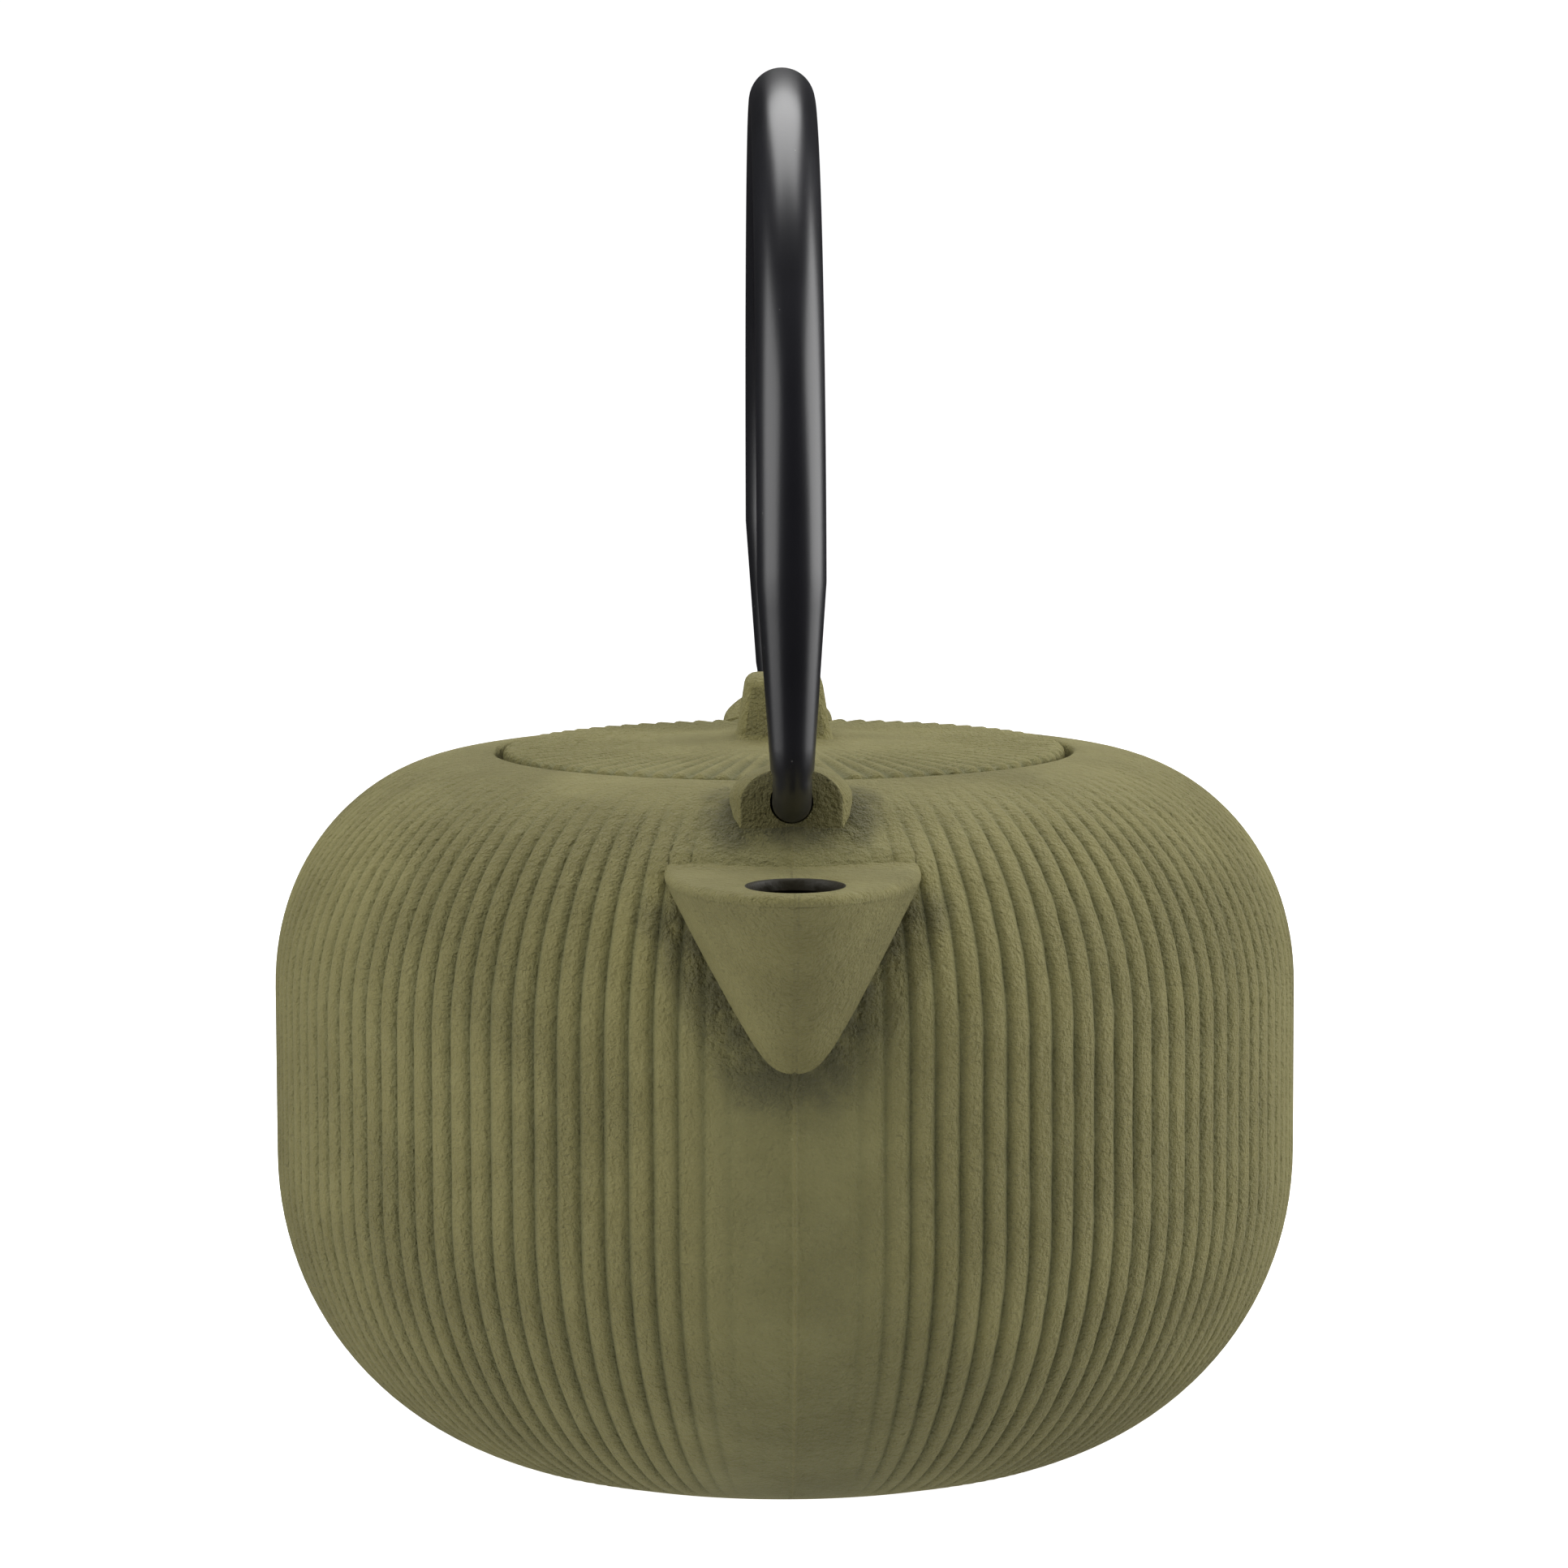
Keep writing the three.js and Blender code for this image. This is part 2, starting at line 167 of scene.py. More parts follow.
def start(name):
    """Names the primitive that was just added and opens it in edit mode."""
    piece = bpy.context.object
    piece.name = name
    piece.data.name = name
    bpy.ops.object.transform_apply(location=True, rotation=True, scale=True)
    bpy.ops.object.mode_set(mode="EDIT")
    bpy.ops.mesh.select_mode(type="VERT")
    bpy.ops.mesh.select_all(action="SELECT")
    return piece


def select(kind, wanted):
    """Selects the vertices, edges or faces (kind VERT, EDGE or FACE) for which wanted is true."""
    bpy.ops.mesh.select_mode(type=kind)
    bpy.ops.mesh.select_all(action="DESELECT")
    shape = bmesh.from_edit_mesh(bpy.context.object.data)
    items = {"VERT": shape.verts, "EDGE": shape.edges, "FACE": shape.faces}[kind]
    for item in items:
        if wanted(item):
            item.select_set(True)
    shape.select_flush_mode()
    bmesh.update_edit_mesh(bpy.context.object.data)


def move(x=0, y=0, z=0):
    bpy.ops.transform.translate(value=(x, y, z))


def extrude(x=0, y=0, z=0):
    bpy.ops.mesh.extrude_region_move(TRANSFORM_OT_translate={"value": (x, y, z)})


def resize(x, y, z, about):
    bpy.ops.transform.resize(value=(x, y, z), center_override=about)


def close_up(piece, distance=1e-6):
    """Merges doubles and turns every face outwards, then leaves edit mode."""
    bpy.ops.mesh.select_all(action="SELECT")
    bpy.ops.mesh.remove_doubles(threshold=distance)
    bpy.ops.mesh.normals_make_consistent(inside=False)
    bpy.ops.object.mode_set(mode="OBJECT")
    return piece


def apply(piece, name, kind, **settings):
    """Adds a modifier, gives it its settings and applies it, as one click of the menu."""
    pick(piece)
    modifier = piece.modifiers.new(name, kind)
    for key, value in settings.items():
        setattr(modifier, key, value)
    bpy.ops.object.modifier_apply(modifier=modifier.name)


def shade(piece, degrees):
    pick(piece)
    bpy.ops.object.shade_smooth_by_angle(angle=math.radians(degrees))


def places(piece):
    """The piece's vertices as a table of x, y, z."""
    table = np.zeros(len(piece.data.vertices) * 3)
    piece.data.vertices.foreach_get("co", table)
    return table.reshape(-1, 3)


def weights(piece, name, values):
    """Writes a vertex group, and the same numbers as an attribute that a material can read."""
    group = piece.vertex_groups.new(name=name)
    for index, value in enumerate(values):
        group.add([index], float(value), "REPLACE")
    attribute = piece.data.attributes.new(name + "_shade", "FLOAT", "POINT")
    attribute.data.foreach_set("value", np.asarray(values, dtype=np.float32))


def report(piece):
    table = places(piece) / MM
    print(piece.name, len(piece.data.polygons), "faces,", table.min(0).round(1), table.max(0).round(1))


# %% [markdown]
# ## Turning an outline
# A cast pot starts as a turned pattern. One vertex is pulled along the outline, the line is spun
# about the upright axis, and the two ends that meet on the axis close the poles. Spin can leave
# the shape inside out, so its normals are recalculated once its doubles are merged.

# %% Turned pieces
def turned(name, outline, columns, wedges=1):
    """Spins a line of (radius, height) points in mm about the pot's axis into a closed solid.
    A finely divided piece is spun as one wedge, which a second spin repeats as copies."""
    clear_selection()
    bpy.ops.mesh.primitive_plane_add(size=2 * MM, location=(0, 0, 0))
    piece = start(name)
    bpy.ops.mesh.merge(type="CENTER")
    move(x=outline[0][0] * MM, z=outline[0][1] * MM)
    for before, after in zip(outline, outline[1:]):
        extrude(x=(after[0] - before[0]) * MM, z=(after[1] - before[1]) * MM)
    bpy.ops.mesh.select_all(action="SELECT")
    wedge = 2 * math.pi / wedges
    bpy.ops.mesh.spin(steps=columns // wedges, angle=wedge, center=(0, 0, 0), axis=(0, 0, 1))
    if wedges > 1:
        bpy.ops.mesh.select_all(action="SELECT")
        bpy.ops.mesh.spin(steps=wedges - 1, dupli=True, angle=2 * math.pi - wedge,
                          center=(0, 0, 0), axis=(0, 0, 1))
    return close_up(piece)


def arc(centre, radius, first, last, count):
    """Points along a round corner of an outline, from one angle to another in degrees."""
    turns = [math.radians(first + (last - first) * index / count) for index in range(count + 1)]
    return [(centre[0] + radius * math.cos(turn), centre[1] + radius * math.sin(turn)) for turn in turns]


# %% [markdown]
# ## The outline of the pot
# The belly and the shoulder are quarter ovals, a touch squarer than an ellipse, with a short
# upright band between them. Both are written once, so the shell, its lining and the ribs agree.

# %% Belly and shoulder
RIM = 104.0
BELLY = 75.0
BAND_LOW, BAND_HIGH = 45.0, 69.3
OPENING = 42.4
LEDGE = 99.6
THROAT = 36.5
RIM_SINK = 0.3


def belly_point(share, inset=0.0):
    """share 0 is the level end of the oval, under the pot, and 1 its upright end at the band."""
    turn = share * math.pi / 2
    out, down = math.sin(turn) ** (2 / 2.04), math.cos(turn) ** (2 / 2.04)
    return 28.8 + (BELLY - 28.8 - inset * out) * out, BAND_LOW - (46 - inset) * down


def shoulder_point(share, inset=0.0):
    """share 0 is the upright end at the band, and 1 the level end at the lid."""
    turn = share * math.pi / 2
    up, out = math.sin(turn) ** (2 / 2.11), math.cos(turn) ** (2 / 2.11)
    return 41.2 + (BELLY - 41.2 - inset) * out, BAND_HIGH + (RIM - BAND_HIGH - inset) * up


def wall_line(rows, inset, low, inner):
    """The pot's outline from height low up to radius inner, moved in by inset."""
    line = [belly_point(index / rows, inset) for index in range(1, rows + 1)]
    line += [(BELLY - inset, BAND_LOW + (BAND_HIGH - BAND_LOW) * index / 9) for index in range(1, 9)]
    line += [shoulder_point(index / rows, inset) for index in range(rows)]
    return [point for point in line if point[1] > low + 0.3 and point[0] > inner + 0.2]


def smooth_step(value, low, high):
    share = np.clip((value - low) / (high - low), 0, 1)
    return share * share * (3 - 2 * share)


def crown(point):
    """The rim was ground a little after casting, so the shoulder sinks towards the lid."""
    sink = RIM_SINK * (1 - float(smooth_step(point[0], 44, 62))) if point[1] > 80 else 0
    return point[0], point[1] - sink


SHELL_ROWS = 32
print("shell rows:", len(wall_line(SHELL_ROWS, 0, 0, OPENING + 0.8)))

# %% [markdown]
# ## The shell and its ribs
# A hundred and thirty-two fine ribs run from the lid down to the foot. Modelled by hand, each
# would be a groove swept down the side, so the turned shell gets eight columns to a rib, a
# vertex group holds how deep each vertex lies, and one Displace modifier presses the valleys in.
# The ribs soften beside the joint of the mould, front and back, and the joint itself leaves a
# fine raised line. Crests are broad and valleys narrow, as sand leaves them. Last, the rear of the
# rim is ground lower, so the scalloped edge of the lid stands free above it.

# %% Turn the shell
RIBS = 132
RIB_COLUMNS = 8
RIB_DEPTH = 0.9 * MM
REAR_GRINDING = 0.4 * MM
outer = [crown(point) for point in wall_line(SHELL_ROWS, 0, 0, OPENING + 0.8)]
inner_skin = wall_line(11, 1.8, 1.8, 45.0)
shell_line = [(0, 1.8)] + inner_skin + [(45.0, 101.6), (43.2, 100.2), (OPENING, LEDGE)]
shell_line += [(OPENING, 101.5)] + arc((OPENING + 0.8, RIM - 1.1), 0.8, 180, 90, 4)
shell_line += outer[::-1] + [(38.4, 0.0), (30, 0.0), (12, 0.0), (0, 0)]
shell = turned("pot_shell", shell_line, RIBS * RIB_COLUMNS, wedges=24)
report(shell)


# %% Press the ribs in
def rib_valley(angle, count, sharpness=2.6):
    """0 on the crest of a rib and 1 in the valley beside it. A crest lies on angle 0."""
    turns = angle * count / (2 * math.pi)
    off = np.abs(turns - np.round(turns))
    return (1 - np.cos(math.pi * (2 * off) ** sharpness)) / 2


table = places(shell) / MM
radius = np.hypot(table[:, 0], table[:, 1])
angle = np.arctan2(table[:, 0], -table[:, 1])
height = table[:, 2]
# Only the outer skin takes ribs: what lies further out than a line between the wall's two faces.
skin = (radius > np.interp(height, [0, 3, 30, 101, 105], [0, 43, 66, 42.9, 42.9])) | (height < 0.5)
from_seam = np.minimum(np.abs(angle), math.pi - np.abs(angle)) * np.maximum(radius, 40)
seam_fade = smooth_step(from_seam, 3.5, 21)
rim_fade = np.where(height > 85, smooth_step(radius, 43.5, 76), 1.0)
foot_fade = np.where(height < 20, smooth_step(radius, 39.5, 46), 1.0)
wander = np.array([noise.noise(Vector((x * 0.11, y * 0.11, z * 0.045))) for x, y, z in table])
ragged = np.array([noise.noise(Vector((x * 0.45, y * 0.45, z * 0.28))) for x, y, z in table])
rough_side = smooth_step(table[:, 0], -10, 60)
rib = rib_valley(angle + 0.0016 * wander, RIBS)
depth = rib * (0.86 + 0.12 * wander + (0.12 + 0.26 * rough_side) * ragged)
level = 0.42 * (1 - seam_fade) * np.where((height > 12) | (radius > 30), 1, 0)
seam_line = np.clip(1 - from_seam / 0.42, 0, 1)
ends_fade = rim_fade * foot_fade
valley = (depth * seam_fade * ends_fade + level * ends_fade * (1 - 0.75 * seam_line)) * skin
# These weights also reach the olive coating as the valley_shade attribute, which darkens the colour in the
# valleys as painted shade.
weights(shell, "valley", np.clip(valley, 0, 1))
apply(shell, "ribs", "DISPLACE", strength=-RIB_DEPTH, mid_level=0.0, vertex_group="valley")
ground = (1 - smooth_step(radius, 44, 60)) * smooth_step(table[:, 1], 0, 35) * (height > 95) * skin
weights(shell, "ground", ground)
apply(shell, "grind the rear", "DISPLACE", strength=-REAR_GRINDING, mid_level=0.0,
      vertex_group="ground")
report(shell)

# %% [markdown]
# ## The spout
# The spout is a short V: a flat pointed lip on top and a half cone that dives into the belly.
# Two ovals, the lip above and a small foot below, are bridged with rows between them. The edge of
# the lip is rounded with a bevel, and its shape stays a closed block until the channel is cut.

# %% Bridge the lip to the foot
LIP = 94.0
LIP_MIDDLE, LIP_HALF, LIP_LENGTH = -63.9, 18.3, 32.4
FOOT, FOOT_MIDDLE, FOOT_HALF, FOOT_LENGTH = 67.0, -71.4, 4.5, 3.2
clear_selection()
bpy.ops.mesh.primitive_circle_add(vertices=96, radius=MM, location=(0, LIP_MIDDLE * MM, LIP * MM))
spout = start("spout")
resize(LIP_HALF, LIP_LENGTH, 1, (0, LIP_MIDDLE * MM, LIP * MM))
bpy.ops.mesh.primitive_circle_add(vertices=96, radius=MM, location=(0, FOOT_MIDDLE * MM, FOOT * MM))
resize(FOOT_HALF, FOOT_LENGTH, 1, (0, FOOT_MIDDLE * MM, FOOT * MM))
bpy.ops.mesh.select_all(action="SELECT")
bpy.ops.mesh.bridge_edge_loops(number_cuts=16, interpolation="LINEAR")
select("EDGE", lambda edge: all(abs(end.co.z - FOOT * MM) < 1e-6 for end in edge.verts))
bpy.ops.mesh.edge_face_add()
select("EDGE", lambda edge: all(abs(end.co.z - LIP * MM) < 1e-6 for end in edge.verts))
bpy.ops.mesh.edge_face_add()
bpy.ops.mesh.bevel(offset=2.1 * MM, segments=6, affect="EDGES")
select("FACE", lambda face: len(face.verts) > 90 and face.calc_center_median().z > 93 * MM)
for inward in (1.6, 3.2):
    bpy.ops.mesh.inset(thickness=inward * MM)

# %% Sweep the rear of the lip up into the shoulder
for cut in (-60, -61.5, -63, -64, -65, -66, -67, -68.2, -69.6):
    bpy.ops.mesh.select_all(action="SELECT")
    bpy.ops.mesh.bisect(plane_co=(0, cut * MM, 0), plane_no=(0, 1, 0))
shape = bmesh.from_edit_mesh(spout.data)
for vertex in shape.verts:
    behind = 1 - min(1.0, max(0.0, (math.hypot(vertex.co.x, vertex.co.y) / MM - 64.5) / 5))
    vertex.co.z += 1.2 * behind ** 2 * float(smooth_step(vertex.co.z / MM, 90, 94)) * MM
bmesh.update_edit_mesh(spout.data)
close_up(spout)
report(spout)

# %% [markdown]
# ## The channel through the spout
# The tea runs up through the wall and out of an oval mouth. A pipe of ovals, flared where it
# meets the lip so the edge comes out rounded, is the tool: a Boolean takes it from the spout, the
# shell and the lining alike, so the three openings line up.

# %% Make the tool for the channel
MOUTH = -84.3
channel_rings = [  # middle y, height, half width, half length, tilt in degrees
    (MOUTH, 96.0, 7.3, 8.6, 0), (MOUTH, 94.05, 6.85, 8.15, 0), (MOUTH, 93.85, 6.6, 7.9, 0),
    (MOUTH, 93.6, 6.5, 7.8, 0), (MOUTH, 92.4, 6.5, 7.8, 0), (-82.6, 89.6, 6.9, 7.4, 18),
    (-78.8, 86.2, 7.4, 6.6, 45), (-73.5, 83.2, 7.4, 5.6, 68), (-67.0, 81.2, 7.2, 5.2, 84),
    (-56.0, 80.6, 7.2, 5.2, 90)]


def oval_pipe(name, rings, sides):
    """Bridges a row of ovals, each turned about its own width, into a closed pipe."""
    clear_selection()
    bpy.ops.mesh.primitive_circle_add(vertices=sides, radius=MM, location=(0, 0, 0))
    piece = start(name)
    bpy.ops.mesh.delete(type="VERT")
    for middle, level_at, half, length, tilt in rings:
        bpy.ops.mesh.select_all(action="DESELECT")
        bpy.ops.mesh.primitive_circle_add(vertices=sides, radius=MM, location=(0, middle * MM, level_at * MM))
        spot = (0, middle * MM, level_at * MM)
        resize(half, length, 1, spot)
        turn = math.radians(tilt)
        shape = bmesh.from_edit_mesh(piece.data)
        for vertex in shape.verts:
            if vertex.select:
                out = vertex.co.y - spot[1]
                vertex.co.y = spot[1] + out * math.cos(turn)
                vertex.co.z = spot[2] + out * math.sin(turn)
        bmesh.update_edit_mesh(piece.data)
    bpy.ops.mesh.select_all(action="SELECT")
    bpy.ops.mesh.bridge_edge_loops(interpolation="LINEAR")
    bpy.ops.mesh.select_mode(type="EDGE")
    bpy.ops.mesh.select_all(action="DESELECT")
    bpy.ops.mesh.select_non_manifold(extend=False)
    bpy.ops.mesh.fill_holes(sides=0)
    return close_up(piece)


channel = oval_pipe("channel_tool", channel_rings, 48)
report(channel)

# %% [markdown]
# ## The lining
# Inside, the pot is enamelled black. The lining is its own turned piece: the ledge that carries
# the strainer, the throat, the roof under the shoulder, the inner wall and the floor.

# %% Turn the lining
lining_skin = wall_line(11, 1.6, 2.2, 45.0)
lining_inside = [point for point in wall_line(16, 3.6, 4.4, THROAT) if point[1] < 95.2]
lining_line = [(0, 2.2)] + lining_skin + [(44.5, 101.2), (43.0, 99.9), (OPENING + 0.3, LEDGE)]
lining_line += arc((THROAT + 0.6, LEDGE - 0.6), 0.6, 90, 180, 3)
lining_line += [(THROAT, 96.6)] + arc((THROAT + 0.6, 96.6), 0.6, 180, 270, 3)
lining_line += [(lining_inside[-1][0] - 1.6, 96.0)] + lining_inside[::-1] + [(34.5, 4.2), (0, 4.2)]
lining = turned("pot_lining", lining_line, 144)
report(lining)

# %% Cut the channel through all three, and note which faces line it
channel_faces = {}
for piece in (shell, lining, spout):
    apply(piece, "channel", "BOOLEAN", operation="DIFFERENCE", solver="MANIFOLD", object=channel)
    lined = []
    for face in piece.data.polygons:
        if face.center.y < -50 * MM and face.center.z < 93.9 * MM and abs(face.center.x) < 9 * MM:
            nearest = channel.closest_point_on_mesh(face.center)[1]
            if (nearest - face.center).length < 0.02 * MM:
                lined.append(face.center.copy())
    channel_faces[piece.name] = lined
    print(len(lined), "faces line the channel in", piece.name)
bpy.data.objects.remove(channel)

# %% [markdown]
# ## The ears
# Two ears stand on the shoulder, front and back, and hold the ends of the hoop. Each is an arch
# with a flat outer face and sides that widen away from it, because a casting needs draft to leave
# its mould. A drum is cut in half, its flat side is drawn down into the shoulder, and its outer
# end is narrowed. A blind hole takes the pin. One ear is made, and the other is its turned copy.

# %% Shape one ear
PIVOT = 102.5
EAR_FACE = 60.0
EAR_HALF = 8.5
EAR_DEPTH = 9.0
EAR_RISE = 4.8
clear_selection()
bpy.ops.mesh.primitive_cylinder_add(vertices=64, radius=EAR_HALF * MM, depth=EAR_DEPTH * MM,
                                    location=(0, -(EAR_FACE - EAR_DEPTH / 2) * MM, PIVOT * MM),
                                    rotation=(math.pi / 2, 0, 0))
ear = start("ear_front")
bpy.ops.mesh.bisect(plane_co=(0, 0, PIVOT * MM), plane_no=(0, 0, 1), clear_inner=True, use_fill=True)
select("FACE", lambda face: face.normal.z < -0.9)
extrude(z=-9.5 * MM)
for cut in (-54.0, -57.5):
    bpy.ops.mesh.select_all(action="SELECT")
    bpy.ops.mesh.bisect(plane_co=(0, cut * MM, 0), plane_no=(0, 1, 0))
select("VERT", lambda point: point.co.z > PIVOT * MM + 1e-6)
resize(1, 1, EAR_RISE / EAR_HALF, (0, 0, PIVOT * MM))
for where, across, up in ((-EAR_FACE, 7.0 / EAR_HALF, 1.0), (-57.5, 8.0 / EAR_HALF, 1.0), (-51.0, 1.0, 0.31)):
    select("VERT", lambda point: abs(point.co.y - where * MM) < 1e-5)
    resize(across, 1, 1, (0, where * MM, PIVOT * MM))
    select("VERT", lambda point: abs(point.co.y - where * MM) < 1e-5 and point.co.z > PIVOT * MM + 1e-6)
    resize(1, 1, up, (0, where * MM, PIVOT * MM))
select("EDGE", lambda edge: all(abs(end.co.z - PIVOT * MM) < 1e-6 for end in edge.verts)
       and abs(edge.verts[0].co.y - edge.verts[1].co.y) < 1e-6)
bpy.ops.mesh.dissolve_edges()
select("EDGE", lambda edge: all(abs(end.co.y + EAR_FACE * MM) < 1e-5 for end in edge.verts)
       and max(end.co.z for end in edge.verts) > 94 * MM)
bpy.ops.mesh.bevel(offset=0.35 * MM, segments=3, affect="EDGES")
close_up(ear)
report(ear)

# %% Drill the blind hole and copy the ear
HOLE_RADIUS, HOLE_DEPTH, DRILL_LENGTH = 3.0, 6.5, 10.0
drill_middle = EAR_FACE - HOLE_DEPTH + DRILL_LENGTH / 2
clear_selection()
bpy.ops.mesh.primitive_cylinder_add(vertices=48, radius=HOLE_RADIUS * MM, depth=DRILL_LENGTH * MM,
                                    location=(0, -drill_middle * MM, PIVOT * MM),
                                    rotation=(math.pi / 2, 0, 0))
drill = start("drill")
select("FACE", lambda face: abs(face.normal.y) > 0.9)
bpy.ops.mesh.bevel(offset=0.3 * MM, segments=2, affect="EDGES")
close_up(drill)
apply(ear, "hole", "BOOLEAN", operation="DIFFERENCE", solver="MANIFOLD", object=drill)
bpy.data.objects.remove(drill)


def copy_of(piece, name):
    """A copy of a piece with its own mesh."""
    double = piece.copy()
    double.data = piece.data.copy()
    double.name = name
    double.data.name = name
    bpy.context.scene.collection.objects.link(double)
    return double


def half_turn(piece):
    """Turns a piece by half a turn about the pot's axis and settles its place in its mesh."""
    pick(piece)
    piece.rotation_euler = (0, 0, math.pi)
    bpy.ops.object.transform_apply(location=True, rotation=True, scale=True)


rear_ear = copy_of(ear, "ear_rear")
half_turn(rear_ear)
report(rear_ear)

# %% [markdown]
# ## Soft corners where the castings meet
# Sand can't hold a sharp inside corner, so metal fills it. Two modifiers do the same here: a
# Vertex Weight Proximity marks how near each vertex lies to its neighbour, and a Displace raises
# those vertices a little, so the shell swells up to the ears and along the spout.

# %% Fillets
def swell(piece, neighbour, reach, height_of, where=lambda place: True):
    """Raises the piece's skin by height_of mm beside a neighbour nearer than reach mm, where a test
    allows it."""
    name = "near_" + neighbour.name
    group = piece.vertex_groups.new(name=name)
    group.add([point.index for point in piece.data.vertices if where(point.co)], 1.0, "REPLACE")
    apply(piece, "mark", "VERTEX_WEIGHT_PROXIMITY", vertex_group=name, target=neighbour,
          proximity_mode="GEOMETRY", proximity_geometry={"FACE"}, min_dist=reach * MM, max_dist=0.0,
          falloff_type="SHARP")
    apply(piece, "raise", "DISPLACE", strength=height_of * MM, mid_level=0.0, vertex_group=name)
    piece.vertex_groups.remove(piece.vertex_groups[name])


EAR_FILLET = {"reach": 3.0, "height_of": 0.5}
swell(shell, spout, 4.5, 0.9, lambda place: place.z > 92 * MM)
swell(shell, ear, **EAR_FILLET)
swell(shell, rear_ear, **EAR_FILLET)
report(shell)

# %% [markdown]
# ## Crumbled sand and painted shade
# In tight corners the mould's sand crumbles, and the skin there comes out rough; its colour is
# darkened there too, as painted shade in the corners. Each vertex of the shell gets a share of that
# from how near it lies to an ear or to the underside of the spout, and a slight share down the
# right side. The olive coating reads it further on.

# %% Note where the sand crumbled and where shade is painted
def nearness(piece, neighbour, reach):
    """1 where the piece's skin touches its neighbour, falling to 0 at reach in mm."""
    table, other = places(piece), places(neighbour)
    inside = (table > other.min(0) - reach * MM) & (table < other.max(0) + reach * MM)
    near = np.zeros(len(table))
    for index in np.nonzero(inside.all(1))[0]:
        here = Vector(table[index])
        near[index] = max(0.0, 1 - (neighbour.closest_point_on_mesh(here)[1] - here).length / (reach * MM))
    return near


EAR_REACH, SPOUT_REACH = 5.0, 7.0
table = places(shell) / MM
by_ears = np.maximum(nearness(shell, ear, EAR_REACH), nearness(shell, rear_ear, EAR_REACH))
by_spout = nearness(shell, spout, SPOUT_REACH) * (1 - smooth_step(table[:, 2], 87, 92))
on_the_right = 0.08 * smooth_step(table[:, 0], 5, 45) * smooth_step(-table[:, 1], 10, 40)
# This share roughens the coating and darkens its colour, painted shade where the shell meets the ears and the
# spout.
crumbled = np.clip(np.maximum(np.maximum(by_ears, by_spout), on_the_right), 0, 1)
shell.data.attributes.new("crumbled", "FLOAT", "POINT").data.foreach_set("value", crumbled.astype(np.float32))
print("crumbled sand on", int((crumbled > 0.3).sum()), "vertices of", shell.name)

# %% [markdown]
# ## The lid
# The lid is a shallow dome with eighty ribs that run in from a scalloped rim and die out towards
# the middle. It is turned like the shell, with a skirt beneath that keeps it from sliding off, and
# its ribs are pressed in by the same pair of vertex group and Displace modifier.

# %% Turn the lid and press its ribs in
LID_RADIUS = 41.3
LID_RIM = 104.3
LID_RIBS = 80
LID_RIB_DEPTH = 0.78 * MM
LID_EDGE = 1.2
LID_DOME = 1.1
DOME_ROWS = 22
level_radius = LID_RADIUS - LID_EDGE
dome = [(level_radius * row / DOME_ROWS, LID_RIM + LID_DOME * (1 - (row / DOME_ROWS) ** 2))
        for row in range(DOME_ROWS + 1)]
lid_line = dome + arc((level_radius, LID_RIM - LID_EDGE), LID_EDGE, 90, 0, 5)[1:]
lid_line += [(LID_RADIUS, 102.2), (LID_RADIUS, 101.4), (LID_RADIUS - 0.4, 101.0), (33.2, 101.0)]
lid_line += [(33.2, 95.4), (32.8, 95.0), (31.2, 95.0), (30.8, 95.4), (30.8, 101.0), (12, 101.0), (0, 101.0)]
lid = turned("lid_dome", lid_line, LID_RIBS * 8, wedges=16)
table = places(lid) / MM
radius = np.hypot(table[:, 0], table[:, 1])
angle = np.arctan2(table[:, 0], -table[:, 1])
fade = smooth_step(radius, 13, 36)
wander = np.array([noise.noise(Vector((x * 0.2, y * 0.2, z * 0.2 + 7))) for x, y, z in table])
valley = rib_valley(angle, LID_RIBS, 1.3) * fade * (0.9 + 0.2 * wander)
# The lid's valley_shade attribute darkens its colour in the valleys too, as painted shade.
weights(lid, "valley", np.clip(valley * (table[:, 2] > 101.2), 0, 1))
apply(lid, "ribs", "DISPLACE", strength=-LID_RIB_DEPTH, mid_level=0.0, vertex_group="valley")
report(lid)

# %% [markdown]
# ## The knob
# The knob is a small square post, cast with the lid: it narrows a little upwards, its corners are
# rounded and its foot spreads into the dome. A cube is tapered, its upright and top edges are
# bevelled, and the foot is extruded outwards.

# %% Shape the knob
KNOB_TOP, KNOB_FOOT = 114.8, 106.4
KNOB_WIDE, KNOB_NARROW = 13.6, 11.0
clear_selection()
bpy.ops.mesh.primitive_cube_add(size=1, location=(0, 0, (KNOB_TOP + KNOB_FOOT) / 2 * MM),
                                scale=(KNOB_WIDE * MM, KNOB_WIDE * MM, (KNOB_TOP - KNOB_FOOT) * MM))
knob = start("knob")
select("VERT", lambda point: point.co.z > 110 * MM)
resize(KNOB_NARROW / KNOB_WIDE, KNOB_NARROW / KNOB_WIDE, 1, (0, 0, KNOB_TOP * MM))
select("EDGE", lambda edge: abs(edge.verts[0].co.z - edge.verts[1].co.z) > 4 * MM)
bpy.ops.mesh.bevel(offset=1.6 * MM, segments=4, affect="EDGES")
select("EDGE", lambda edge: all(end.co.z > 114 * MM for end in edge.verts))
bpy.ops.mesh.bevel(offset=1.5 * MM, segments=4, affect="EDGES")
select("FACE", lambda face: face.normal.z < -0.9)
for out, down in ((1.03, -0.45), (1.05, -0.4), (1.08, -0.35), (1.12, -1.6)):
    extrude(z=down * MM)
    resize(out, out, 1, (0, 0, 105 * MM))
close_up(knob)
swell(lid, knob, 3.5, 0.5)
report(knob)

# %% [markdown]
# ## The hoop handle
# A steel rod is turned in at both ends, where thin pins sit in the ears, thickens up each leg and
# runs round the hoop at full thickness. The end of a disc is extruded and spun along that path.
# A curve with a bevel would do as well, but extruding shows each stage of the smith's work.

